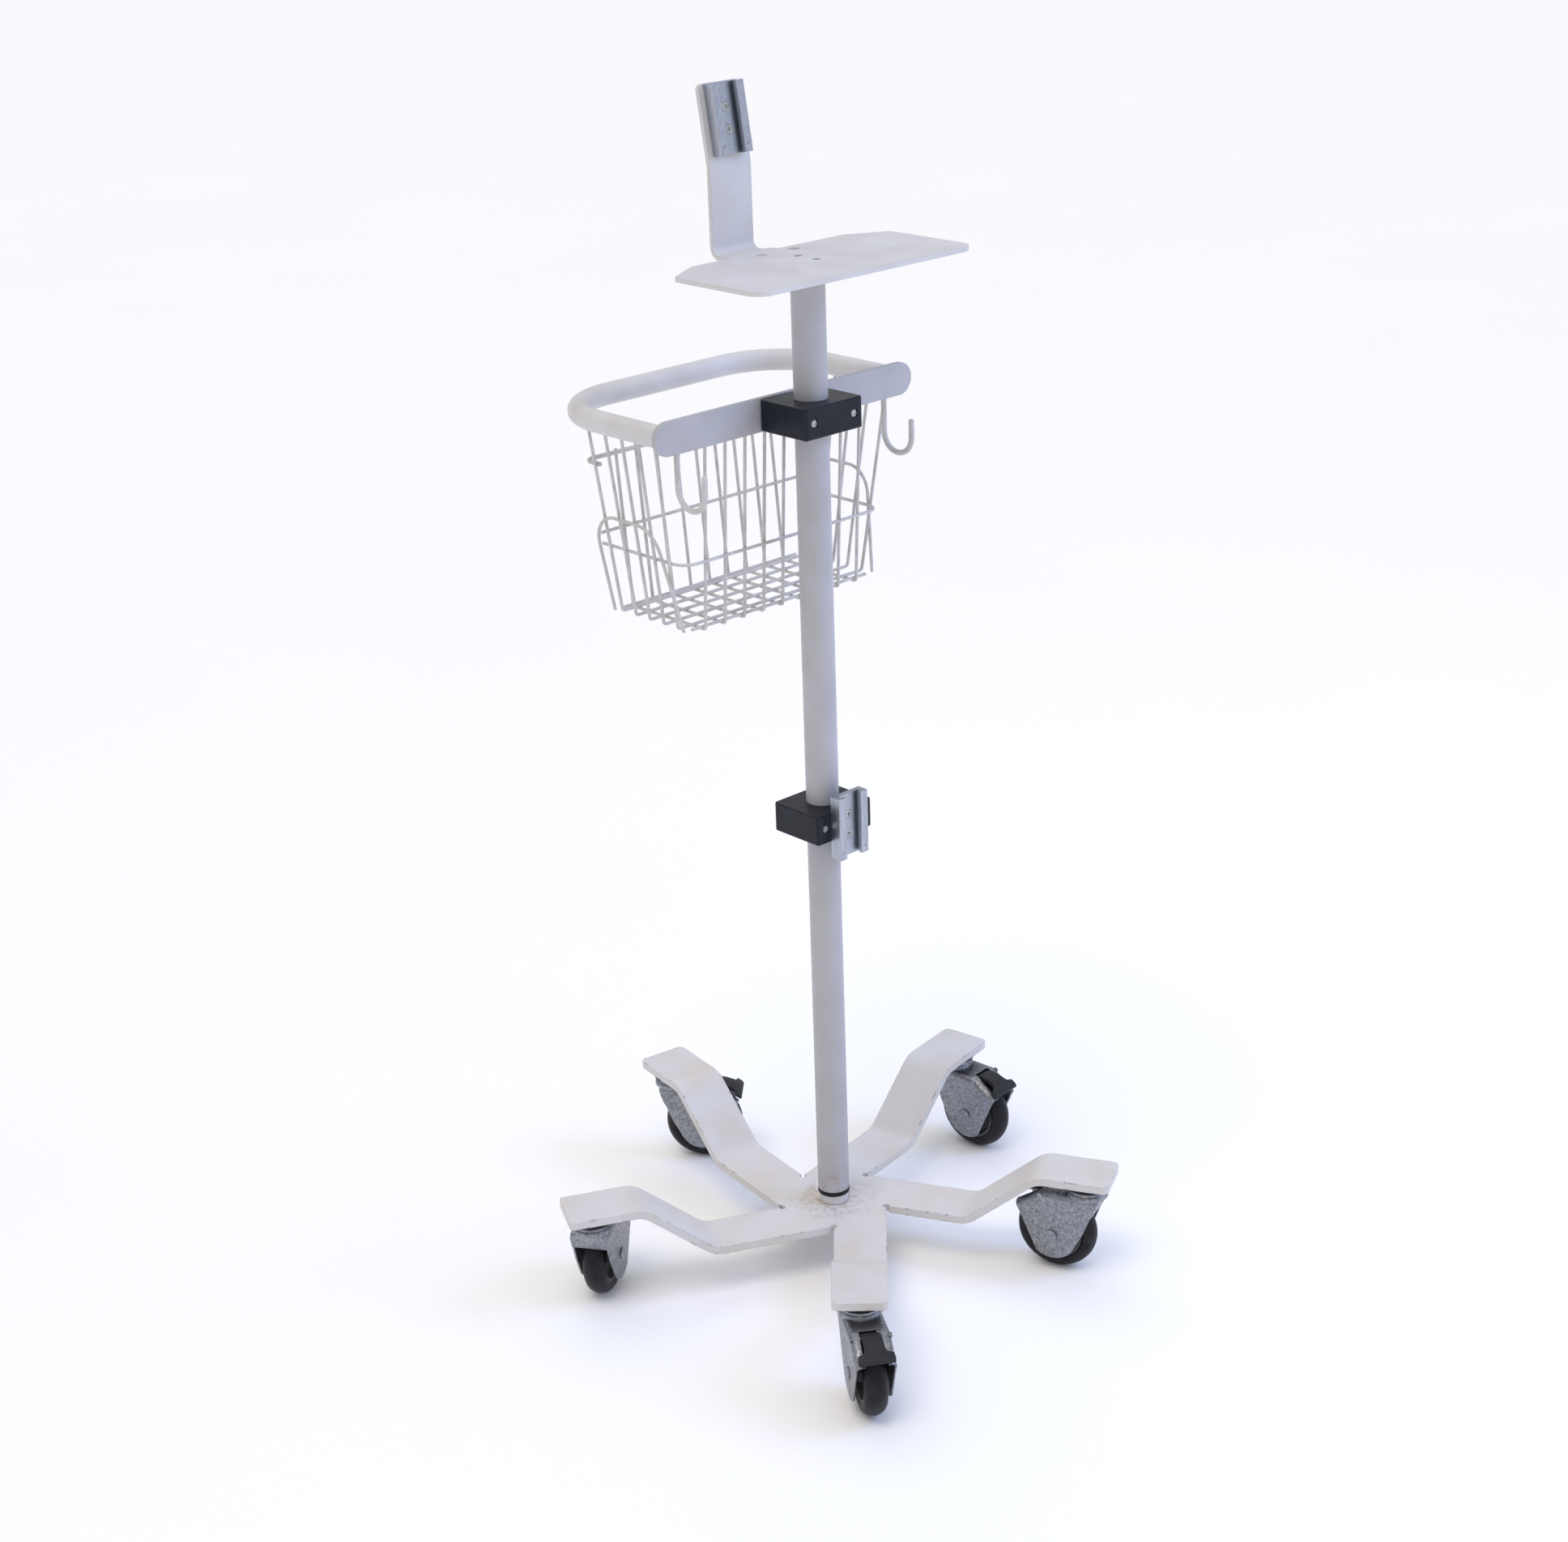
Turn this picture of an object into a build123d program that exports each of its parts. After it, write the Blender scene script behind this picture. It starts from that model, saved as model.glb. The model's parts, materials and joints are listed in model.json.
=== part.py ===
from build123d import *
import math
import os

os.makedirs("parts", exist_ok=True)

# ---- driving dimensions, millimetres ----
# origin: pole axis at floor level, +Z up, +X along the shelf, -Y front
# pole
pole_r = 19.05
pole_wall = 2.0
pole_foot_z = 83.0
fit_gap = 0.05  # radial running clearance
skin_gap = 0.3  # gap between parts that move past each other
fine_edge_r = 0.8  # broken edges on machined parts
span = 1.0  # how far cutting tools run past a face

# star base: one bent plate, five arms set off the centre like a pinwheel
arm_count = 5
arm_turn = 360 / arm_count
first_arm = -134.3  # direction of the first arm
arm_w = 63.5
arm_tip = 342.0  # centre to tip along an arm
plate_t = 9.5
hub_z = 65.0  # top face of the hub
tip_z = 134.0  # top face of the raised arm ends
rise_start = 166.5
rise_end = 251.0
arm_bend_r = 26.0
tip_corner_r = 7.0
relief_r = 4.0
stud_cap = 3.0  # metal left above a stud's blind seat

# casters
stem_inset = 32.0  # stem axis back from the arm tip
trail = 37.0
wheel_r = 50.0
wheel_w = 28.0
rim_r = 35.0
axle_r = 4.0
fork_inner = 40.0
fork_sheet = 2.5
seat_r = 27.0
seat_t = 8.0
crown_z = 107.0
crown_end = 44.0  # the crown plate stops here, along the trail
cup_r = 23.0
stud_r = 6.0
stud_head_r = 10.0
stud_head_t = 3.5
bend_r = 4.0  # outer bend of the pressed fork
seat_edge_r = 1.5
cup_edge_r = 2.5
plate_round = 5.5  # corners of the fork's side plates
plate_low_r = 30.0  # their lower end, about the axle
rivet_t = 1.6
axle_head_r = 7.0
pedal_pin_r = 2.0
pedal_head_r = 3.2
hub_r = 10.0
web_half = 4.0
web_r = 12.5
rim_step = 6.0
rim_lip = 3.5
rim_inset = 2.0
tread_side = 9.0  # how far the tread's crown drops at its sides
caster_names = ["front_left", "front_right", "right", "rear", "left"]
trail_turns = [237.9, 110.1, 275.3, 313.4, 33.4]  # where each wheel trails at rest

# shelf
shelf_z = 1224.3  # top face
sheet_t = 5.0
shelf_w = 320.0
shelf_front = -98.6
shelf_back = 60.4
shelf_corner_r = 20.0
cut_w, cut_d = 48.0, 28.0  # cropped back corners
blunt_r = 6.0
screw_pitch = 29.0
device_hole_r = 6.5
device_hole_pitch = 48.0
device_hole_y = 45.5
flange_r = 27.0
flange_t = 6.0

# tongue, bent up from the shelf's back edge
tongue_w = 59.0
tongue_x = -27.0
tongue_face_y = 87.0
tongue_bend_r = 9.0
tongue_root_r = 12.0
tongue_knee_z = 1318.0
tongue_lean = 9.5
tongue_top_z = 1404.0
tongue_corner_r = 7.0
knee_front_r = 30.0
knee_back_r = 25.0
root_lap = 10.0
rail_drop = 1.0  # top rail's end below the tongue's end

# device rails, one section used twice
rail_w = 45.0
rail_h = 76.0
rail_d = 15.0
rail_lip_w = 11.0
rail_lip_t = 4.5
rail_slot_t = 4.0
rail_undercut = 4.0
rail_screw_pitch = 24.0
rail_screw_r = 2.5
rail_sink_r = 5.4
rail_head_r = 4.9
rail_head_t = 2.6
rail_head_drop = 0.4
cross_w, cross_l, cross_d = 1.1, 5.0, 1.5  # drive recess
dimple_r = 0.9
dimple_d = 1.0
dimple_x, dimple_y = 6.0, 9.0  # in from the rail's corner
nut_t = 4.0

# clamps, one moulding used twice
clamp_w = 86.0
clamp_d = 73.6
clamp_h = 35.5
clamp_round = 4.0
clamp_screw_x = 30.0
upper_clamp_z = 1053.0
mid_clamp_z = 577.6
clamp_edge_r = 2.0
clamp_split = 0.4  # each half stops this far from the middle
clamp_screw_r = 2.5
screw_play = 0.2
pan_head_r = 4.6
pan_head_t = 3.2
pan_edge_r = 1.4
clamp_nut_r = 4.4
nut_pocket = 9.0
nut_pocket_d = 5.0
screw_short = 1.5  # clamp screws end this far inside the face
rail_bite = 12.0

# handle
bar_half = 193.5
bar_h = 38.0
bar_t = 6.0
handle_z = 1052.6
tube_r = 12.7
tube_wall = 1.6
leg_x = 175.0
loop_back = 245.0
loop_r = 88.0
hook_x = 157.0
hook_rod_r = 3.3
hook_bend_r = 22.0
hook_tip_z = 1015.0
hook_low_z = 972.0
hook_root_z = 1066.0

# basket
wire_r = 1.9
rim_wire_r = 2.6
front_wires = 9
wire_pitch = 29.3
floor_z = 820.0
floor_front, floor_back = 57.0, 182.0
floor_half = 143.0
belt_z = 902.0
belt_back = 188.0
belt_corner_r = 20.0
back_rail_z = 915.0
rim_z = 1000.0
rim_y = 199.0
rim_corner_r = 12.0
rim_lap = 4.0  # the rim starts this far in front of the last end wire
end_wires = 5
end_head = 60.0, 172.0  # first and last end wire, at the tube
end_foot = 74.0, 170.0  # and at the floor
hoop_foot = 60.0, 179.0
hoop_head = 84.0, 188.0
hoop_z = 941.0
hoop_r = 36.0

# ---- frames of reference ----
bar_face = clamp_d / 2
bar_back = bar_face + bar_t
slope = math.atan2(tip_z - hub_z, rise_end - rise_start)
miter = plate_t * math.tan(slope / 2)
arm_under = tip_z - plate_t
seat_low = arm_under - seat_t
fork_half = fork_inner / 2 + fork_sheet


def save(piece, name):
    """Label one finished piece and write it as its own STEP."""
    piece.label = name
    export_step(piece, f"parts/{name}.step")


def turned(angle, along, across=0.0):
    """A point in the plan, given along and across a direction."""
    a = math.radians(angle)
    return (
        along * math.cos(a) - across * math.sin(a),
        along * math.sin(a) + across * math.cos(a),
    )


def upright(origin, angle):
    """A vertical plane: its x runs along the direction, its y runs up."""
    ex, ey = turned(angle, 1.0)
    return Plane(origin=(*origin, 0), x_dir=(ex, ey, 0), z_dir=(ey, -ex, 0))


def rod(points, radius, bend=0.0):
    """A round rod through the points, with every corner bent to one radius."""
    with BuildPart() as bar:
        with BuildLine() as path:
            if len(points) == 2:
                Line(*points)
            else:
                FilletPolyline(*points, radius=bend)
        with BuildSketch(Plane(origin=path.line @ 0, z_dir=path.line % 0)):
            Circle(radius)
        sweep(path=path.line)
    return bar.part


# ---- star base ----
with BuildPart() as base_star:
    for arm in range(arm_count):
        angle = first_arm + arm * arm_turn
        side = upright((0, 0), angle)
        with BuildSketch(side):
            with BuildLine():
                top = FilletPolyline(
                    (0, hub_z),
                    (rise_start, hub_z),
                    (rise_end, tip_z),
                    (arm_tip, tip_z),
                    radius=[arm_bend_r, arm_bend_r + plate_t],
                )
                low = FilletPolyline(
                    (0, hub_z - plate_t),
                    (rise_start + miter, hub_z - plate_t),
                    (rise_end + miter, tip_z - plate_t),
                    (arm_tip, tip_z - plate_t),
                    radius=[arm_bend_r + plate_t, arm_bend_r],
                )
                Line(top @ 0, low @ 0)
                Line(top @ 1, low @ 1)
            make_face()
        extrude(amount=-arm_w)
    tip_edges = base_star.edges().filter_by(Axis.Z).filter_by(
        lambda e: math.hypot(e.center().X, e.center().Y) > arm_tip - span
    )
    fillet(tip_edges, radius=tip_corner_r)
    for arm in range(arm_count):
        angle = first_arm + arm * arm_turn
        # the inner corner where one arm's far edge meets the next arm's near edge
        reach = arm_w / math.sin(math.radians(arm_turn))
        with BuildSketch(Plane.XY.offset(hub_z)):
            with Locations(turned(angle + arm_turn, reach)):
                Circle(relief_r)
        extrude(amount=-plate_t, mode=Mode.SUBTRACT)
        # blind seat for the caster stud, under the arm end
        with BuildSketch(Plane.XY.offset(arm_under)):
            with Locations(turned(angle, arm_tip - stem_inset, arm_w / 2)):
                Circle(stud_r)
        extrude(amount=plate_t - stud_cap, mode=Mode.SUBTRACT)
    with BuildSketch(Plane.XY.offset(hub_z)):
        Circle(stud_r + skin_gap)
    extrude(amount=-plate_t, mode=Mode.SUBTRACT)
save(base_star.part, "base_star")

# ---- pole and its ends ----
boss_h = 12.0
boss_r = 17.55
boss_chamfer = 1.0
ring_edge_r = 1.0
ring_h = pole_foot_z - hub_z - boss_h
plug_r = pole_r - pole_wall
with BuildPart() as pole_boss:
    with BuildSketch(Plane.XY.offset(hub_z)):
        Circle(boss_r)
        Circle(stud_r, mode=Mode.SUBTRACT)
    extrude(amount=boss_h)
    boss_foot = pole_boss.edges().group_by(Axis.Z)[0].filter_by(lambda e: e.radius > stud_r + span)
    chamfer(boss_foot, length=boss_chamfer)
save(pole_boss.part, "pole_boss")

with BuildPart() as pole_ring:
    with BuildSketch(Plane.XY.offset(hub_z + boss_h)):
        Circle(pole_r + skin_gap)
        Circle(stud_r, mode=Mode.SUBTRACT)
    extrude(amount=ring_h)
    outer = pole_ring.edges().filter_by(GeomType.CIRCLE).filter_by(lambda e: e.radius > pole_r)
    fillet(outer, radius=ring_edge_r)
save(pole_ring.part, "pole_ring")

pole_top_z = shelf_z - sheet_t - flange_t
with BuildPart() as pole:
    with BuildSketch(Plane.XY.offset(pole_foot_z)):
        Circle(pole_r)
        Circle(plug_r, mode=Mode.SUBTRACT)
    extrude(amount=pole_top_z - pole_foot_z)
save(pole.part, "pole")

foot_plug_h = 30.0
with BuildPart() as foot_plug:
    with BuildSketch(Plane.XY.offset(pole_foot_z)):
        Circle(plug_r)
        Circle(stud_r, mode=Mode.SUBTRACT)
    extrude(amount=foot_plug_h)
save(foot_plug.part, "foot_plug")

bolt_head_h = 7.5
bolt_head_r = 11.0
bolt_short = 2.0
washer_t = 2.5
washer_r = 17.0
bolt_top_z = pole_foot_z + foot_plug_h - bolt_short
with BuildPart() as pole_bolt:
    with BuildSketch(Plane.XY.offset(hub_z - plate_t - washer_t)):
        Circle(stud_r)
    extrude(amount=bolt_top_z - hub_z + plate_t + washer_t)
    with BuildSketch(Plane.XY.offset(hub_z - plate_t - washer_t)):
        RegularPolygon(radius=bolt_head_r, side_count=6)
    extrude(amount=-bolt_head_h)
save(pole_bolt.part, "pole_bolt")

with BuildPart() as pole_washer:
    with BuildSketch(Plane.XY.offset(hub_z - plate_t)):
        Circle(washer_r)
        Circle(stud_r + skin_gap, mode=Mode.SUBTRACT)
    extrude(amount=-washer_t)
save(pole_washer.part, "pole_washer")

top_plug_h = 28.0
shelf_screw_r = 2.4
shelf_screw_len = 16.0
screw_spots = [(0, screw_pitch / 2), (0, -screw_pitch / 2)]
with BuildPart() as shelf_flange:
    with BuildSketch(Plane.XY.offset(pole_top_z)):
        Circle(flange_r)
    extrude(amount=flange_t)
    with BuildSketch(Plane.XY.offset(pole_top_z)):
        Circle(plug_r)
    extrude(amount=-top_plug_h)
    with BuildSketch(Plane.XY.offset(pole_top_z + flange_t)):
        with Locations(*screw_spots):
            Circle(shelf_screw_r)
    extrude(amount=-shelf_screw_len, mode=Mode.SUBTRACT)
save(shelf_flange.part, "shelf_flange")

# ---- shelf with its tongue: one bent sheet ----
root_left = tongue_x - tongue_w / 2
root_right = tongue_x + tongue_w / 2
bend_mid_r = tongue_bend_r + sheet_t
shelf_low = shelf_z - sheet_t
lean = math.radians(tongue_lean)
knee_y = tongue_face_y
top_run = tongue_top_z - tongue_knee_z
top_y = knee_y + top_run * math.tan(lean)
lean_shift = sheet_t * math.tan(lean / 2)
screw_head_r = 5.6
screw_head_t = 2.8
screw_head_drop = 0.6
hex_r = 2.2
hex_d = 2.0
# the top rail lies on the leaning face of the tongue
rail_mid_z = tongue_top_z - rail_h / 2 * math.cos(lean) - rail_drop
rail_mid_y = knee_y + (rail_mid_z - tongue_knee_z) * math.tan(lean)
tongue_face = Plane(
    origin=(tongue_x, rail_mid_y, rail_mid_z),
    x_dir=(1, 0, 0),
    z_dir=(0, -math.cos(lean), math.sin(lean)),
)
with BuildPart() as shelf:
    with BuildSketch(Plane.XY.offset(shelf_low)):
        with BuildLine():
            Polyline(
                (-shelf_w / 2, shelf_front),
                (shelf_w / 2, shelf_front),
                (shelf_w / 2, shelf_back - cut_d),
                (shelf_w / 2 - cut_w, shelf_back),
                (-shelf_w / 2 + cut_w, shelf_back),
                (-shelf_w / 2, shelf_back - cut_d),
                close=True,
            )
        plan = make_face()
        front_corners = plan.vertices().group_by(Axis.Y)[0]
        fillet(front_corners, radius=shelf_corner_r)
    extrude(amount=sheet_t)
    blunt = shelf.edges().filter_by(Axis.Z).group_by(Axis.Y)
    fillet(blunt[-1] + blunt[-2], radius=blunt_r)
    # the flat root of the tongue, flared into the back edge on its right
    with BuildSketch(Plane.XY.offset(shelf_low)):
        with BuildLine():
            bend_line = tongue_face_y - tongue_bend_r
            l1 = Line((root_left, shelf_back - root_lap), (root_left, bend_line))
            l2 = Line(l1 @ 1, (root_right, bend_line))
            l3 = Line(l2 @ 1, (root_right, shelf_back + tongue_root_r))
            arc = RadiusArc(l3 @ 1, (root_right + tongue_root_r, shelf_back), tongue_root_r)
            l4 = Line(arc @ 1, (root_right + tongue_root_r, shelf_back - root_lap))
            Line(l4 @ 1, l1 @ 0)
        make_face()
    extrude(amount=sheet_t)
    # the bend, the upright stretch and the leaning top, drawn side on
    with BuildSketch(Plane.YZ.offset(root_left)):
        with BuildLine():
            front = FilletPolyline(
                (tongue_face_y - tongue_bend_r - span, shelf_z),
                (tongue_face_y, shelf_z),
                (knee_y, tongue_knee_z),
                (top_y, tongue_top_z),
                radius=[tongue_bend_r, knee_front_r],
            )
            back = FilletPolyline(
                (tongue_face_y - tongue_bend_r - span, shelf_low),
                (tongue_face_y + sheet_t, shelf_low),
                (knee_y + sheet_t, tongue_knee_z - lean_shift),
                (top_y + sheet_t * math.cos(lean), tongue_top_z - sheet_t * math.sin(lean)),
                radius=[bend_mid_r, knee_back_r],
            )
            Line(front @ 0, back @ 0)
            Line(front @ 1, back @ 1)
        make_face()
    extrude(amount=tongue_w)
    crown_edges = shelf.faces().sort_by(Axis.Z)[-1].edges().filter_by(
        lambda e: abs(e.tangent_at(0).X) < 0.1
    )
    fillet(crown_edges, radius=tongue_corner_r)
    with BuildSketch(Plane.XY.offset(shelf_z)):
        with Locations(*[(x, device_hole_y) for x in (-device_hole_pitch / 2, device_hole_pitch / 2)]):
            Circle(device_hole_r)
    extrude(amount=-sheet_t, mode=Mode.SUBTRACT)
    with BuildSketch(tongue_face):
        with GridLocations(1, rail_screw_pitch, 1, 2):
            Circle(rail_screw_r + screw_play / 2)
    extrude(amount=-2 * sheet_t, mode=Mode.SUBTRACT)
    with Locations(*[(x, y, shelf_z) for x, y in screw_spots]):
        CounterSinkHole(
            radius=shelf_screw_r + screw_play,
            counter_sink_radius=screw_head_r,
            depth=sheet_t,
        )
save(shelf.part, "shelf")

with BuildPart() as shelf_screws:
    for x, y in screw_spots:
        with BuildSketch(Plane.XY.offset(shelf_low)):
            with Locations((x, y)):
                Circle(shelf_screw_r)
        extrude(amount=-shelf_screw_len + span)
        with BuildSketch(Plane.XY.offset(shelf_low)):
            with Locations((x, y)):
                Circle(shelf_screw_r)
        extrude(amount=sheet_t - screw_head_drop)
    head_low = shelf_z - screw_head_t
    for x, y in screw_spots:
        with BuildSketch(Plane.XY.offset(head_low)):
            with Locations((x, y)):
                Circle(shelf_screw_r)
        with BuildSketch(Plane.XY.offset(shelf_z - screw_head_drop)):
            with Locations((x, y)):
                Circle(screw_head_r - screw_head_drop)
        loft()
        with BuildSketch(Plane.XY.offset(shelf_z - screw_head_drop)):
            with Locations((x, y)):
                RegularPolygon(radius=hex_r, side_count=6)
        extrude(amount=-hex_d, mode=Mode.SUBTRACT)
save(shelf_screws.part, "shelf_screws")


# ---- device rails ----
def rail(face):
    """A slotted rail standing out along the plane's z, its length along the plane's y."""
    end = face.from_local_coords((0, -rail_h / 2, 0))
    cross = Plane(origin=end, x_dir=face.x_dir, z_dir=face.y_dir)
    mouth = rail_w / 2 - rail_lip_w
    web = rail_d - rail_lip_t - rail_slot_t
    with BuildPart() as body:
        with BuildSketch(cross):
            with BuildLine():
                half = [
                    (0, 0),
                    (rail_w / 2, 0),
                    (rail_w / 2, -rail_d),
                    (mouth, -rail_d),
                    (mouth, -web - rail_slot_t),
                    (mouth + rail_undercut, -web - rail_slot_t),
                    (mouth + rail_undercut, -web),
                    (0, -web),
                ]
                Polyline(*half)
                mirror(about=Plane.YZ)
            make_face()
        extrude(amount=rail_h)
        corners = body.edges().filter_by(Axis(face.origin, face.y_dir)).filter_by(
            lambda e: face.to_local_coords(e.center()).Z > rail_d - skin_gap
        )
        fillet(corners, radius=fine_edge_r)
        with Locations(face.offset(web)):
            with GridLocations(1, rail_screw_pitch, 1, 2):
                CounterSinkHole(
                    radius=rail_screw_r + screw_play / 2,
                    counter_sink_radius=rail_sink_r,
                    depth=web,
                )
        with Locations(face.offset(rail_d)):
            with Locations(*[(sign * (rail_w / 2 - dimple_x), -rail_h / 2 + dimple_y) for sign in (-1, 1)]):
                Hole(radius=dimple_r, depth=dimple_d)
    return body.part


def rail_screws(face, length):
    """Two countersunk screws seated in the rail's web and reaching back behind the face."""
    head_top = rail_d - rail_lip_t - rail_slot_t - rail_head_drop
    with BuildPart() as screws:
        for y in (-rail_screw_pitch / 2, rail_screw_pitch / 2):
            with BuildSketch(face.offset(head_top)):
                with Locations((0, y)):
                    Circle(rail_head_r)
            with BuildSketch(face.offset(head_top - rail_head_t)):
                with Locations((0, y)):
                    Circle(rail_screw_r)
            loft()
            with BuildSketch(face.offset(head_top - rail_head_t)):
                with Locations((0, y)):
                    Circle(rail_screw_r)
            extrude(amount=-length)
            with BuildSketch(face.offset(head_top)):
                with Locations((0, y)):
                    Rectangle(cross_l, cross_w)
                    Rectangle(cross_w, cross_l)
            extrude(amount=-cross_d, mode=Mode.SUBTRACT)
    return screws.part


save(rail(tongue_face), "top_rail")
web_t = rail_d - rail_lip_t - rail_slot_t
top_screws = rail_screws(tongue_face, web_t + sheet_t + nut_t - bolt_short)
with BuildPart() as top_rail_screws:
    add(top_screws)
    with BuildSketch(tongue_face.offset(-sheet_t)):
        with GridLocations(1, rail_screw_pitch, 1, 2):
            RegularPolygon(radius=pan_head_r, side_count=6)
            Circle(rail_screw_r, mode=Mode.SUBTRACT)
    extrude(amount=-nut_t)
save(top_rail_screws.part, "top_rail_screws")


# ---- clamps ----
def clamp_half(mid_z, front, rail_fixed=False):
    """One half of a pole clamp: a rounded block with half the bore and two screw holes."""
    facing = -1 if front else 1
    outer_end = 0 if front else -1
    with BuildPart() as half:
        with BuildSketch(Plane.XY.offset(mid_z - clamp_h / 2)):
            with Locations((0, facing * clamp_d / 4)):
                Rectangle(clamp_w, clamp_d / 2)
        extrude(amount=clamp_h)
        fillet(half.edges().filter_by(Axis.Z).group_by(Axis.Y)[outer_end], radius=clamp_round)
        rims = half.faces().filter_by(Axis.Z).edges().filter_by(lambda e: abs(e.center().Y) > clamp_split)
        fillet(rims, radius=clamp_edge_r)
        with BuildSketch(Plane.XY.offset(mid_z - clamp_h / 2)):
            Circle(pole_r + fit_gap)
        extrude(amount=clamp_h, mode=Mode.SUBTRACT)
        # the halves stop short of each other so that the screws can pull them tight
        with BuildSketch(Plane.XZ):
            with Locations((0, mid_z)):
                Rectangle(clamp_w + span, clamp_h + span)
        extrude(amount=-facing * clamp_split, mode=Mode.SUBTRACT)
        screw_face = Plane(origin=(0, facing * bar_face, mid_z), x_dir=(1, 0, 0), z_dir=(0, facing, 0))
        with BuildSketch(screw_face):
            with GridLocations(2 * clamp_screw_x, 1, 2, 1):
                Circle(clamp_screw_r + screw_play)
        extrude(amount=-bar_face, mode=Mode.SUBTRACT)
        if front:
            with BuildSketch(screw_face):
                with GridLocations(2 * clamp_screw_x, 1, 2, 1):
                    Rectangle(nut_pocket, nut_pocket)
            extrude(amount=-nut_pocket_d, mode=Mode.SUBTRACT)
        if rail_fixed:
            with BuildSketch(screw_face):
                with GridLocations(1, rail_screw_pitch, 1, 2):
                    Circle(rail_screw_r)
            extrude(amount=-rail_bite, mode=Mode.SUBTRACT)
    return half.part


def clamp_screws(mid_z, head_y):
    """Two pan-head screws that run forward from the given seat into the front nuts."""
    tip_y = -bar_face + screw_short
    seat = Plane(origin=(0, head_y, mid_z), x_dir=(1, 0, 0), z_dir=(0, -1, 0))
    with BuildPart() as screws:
        with BuildSketch(seat):
            with GridLocations(2 * clamp_screw_x, 1, 2, 1):
                Circle(clamp_screw_r)
        extrude(amount=head_y - tip_y)
        with BuildSketch(seat):
            with GridLocations(2 * clamp_screw_x, 1, 2, 1):
                Circle(pan_head_r)
        extrude(amount=-pan_head_t)
        domes = screws.faces().sort_by(Axis.Y)[-2:].edges()
        fillet(domes, radius=pan_edge_r)
    return screws.part


def clamp_nuts(mid_z):
    """Two hexagon nuts sitting in the front half's square pockets."""
    seat = Plane(origin=(0, -bar_face + nut_pocket_d, mid_z), x_dir=(1, 0, 0), z_dir=(0, -1, 0))
    with BuildPart() as nuts:
        with BuildSketch(seat):
            with GridLocations(2 * clamp_screw_x, 1, 2, 1):
                RegularPolygon(radius=clamp_nut_r, side_count=6)
                Circle(clamp_screw_r, mode=Mode.SUBTRACT)
        extrude(amount=nut_t)
    return nuts.part


save(clamp_half(upper_clamp_z, True), "upper_clamp_front")
save(clamp_half(upper_clamp_z, False), "upper_clamp_back")
save(clamp_screws(upper_clamp_z, bar_back), "upper_clamp_screws")
save(clamp_nuts(upper_clamp_z), "upper_clamp_nuts")
save(clamp_half(mid_clamp_z, True, rail_fixed=True), "mid_clamp_front")
save(clamp_half(mid_clamp_z, False), "mid_clamp_back")
save(clamp_screws(mid_clamp_z, bar_face), "mid_clamp_screws")
save(clamp_nuts(mid_clamp_z), "mid_clamp_nuts")

clamp_face = Plane(origin=(0, -bar_face, mid_clamp_z), x_dir=(1, 0, 0), z_dir=(0, -1, 0))
save(rail(clamp_face), "mid_rail")
save(rail_screws(clamp_face, web_t + rail_bite - rail_head_t - rail_head_drop), "mid_rail_screws")

# ---- handle bar, loop and hooks ----
bar_front = Plane(origin=(0, bar_face, handle_z), x_dir=(1, 0, 0), z_dir=(0, -1, 0))
with BuildPart() as handle_bar:
    with BuildSketch(bar_front):
        SlotOverall(2 * bar_half, bar_h)
        with Locations((0, upper_clamp_z - handle_z)):
            with GridLocations(2 * clamp_screw_x, 1, 2, 1):
                Circle(clamp_screw_r + screw_play, mode=Mode.SUBTRACT)
    extrude(amount=-bar_t)
    fillet(handle_bar.edges().group_by(Axis.Y)[0], radius=fine_edge_r)
save(handle_bar.part, "handle_bar")

with BuildPart() as handle_tube:
    with BuildLine() as loop:
        FilletPolyline(
            (-leg_x, bar_back, handle_z),
            (-leg_x, loop_back, handle_z),
            (leg_x, loop_back, handle_z),
            (leg_x, bar_back, handle_z),
            radius=loop_r,
        )
    with BuildSketch(Plane(origin=loop.line @ 0, z_dir=loop.line % 0)):
        Circle(tube_r)
        Circle(tube_r - tube_wall, mode=Mode.SUBTRACT)
    sweep(path=loop.line)
save(handle_tube.part, "handle_tube")

weld = 0.3  # how deep welded rods and wires bite into each other
hook_flat_r = 0.6
hook_y = bar_back + hook_rod_r - weld
tip_y = hook_y - 2 * hook_bend_r
hook_rods = [
    rod(
        [
            (x, hook_y, hook_root_z),
            (x, hook_y, hook_low_z),
            (x, tip_y, hook_low_z),
            (x, tip_y, hook_tip_z),
        ],
        hook_rod_r,
        hook_bend_r - fit_gap,
    )
    for x in (-hook_x, hook_x)
]
with BuildPart() as bag_hooks:
    for piece in hook_rods:
        add(piece)
    tips = bag_hooks.faces().filter_by(Axis.Z).sort_by(Axis.Y)[:2]
    fillet(tips.edges(), radius=hook_rod_r - hook_flat_r)
save(bag_hooks.part, "bag_hooks")


# ---- wire basket ----
def mix(low, high, share):
    """The value a share of the way from low to high."""
    return low + (high - low) * share


def wires(name, paths, radius, bend=0.0):
    """One node of wires that are welded to the same cross wires."""
    rods = [rod(path, radius, bend) for path in paths]
    with BuildPart() as panel:
        for piece in rods:
            add(piece)
    save(panel.part, name)


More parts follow.
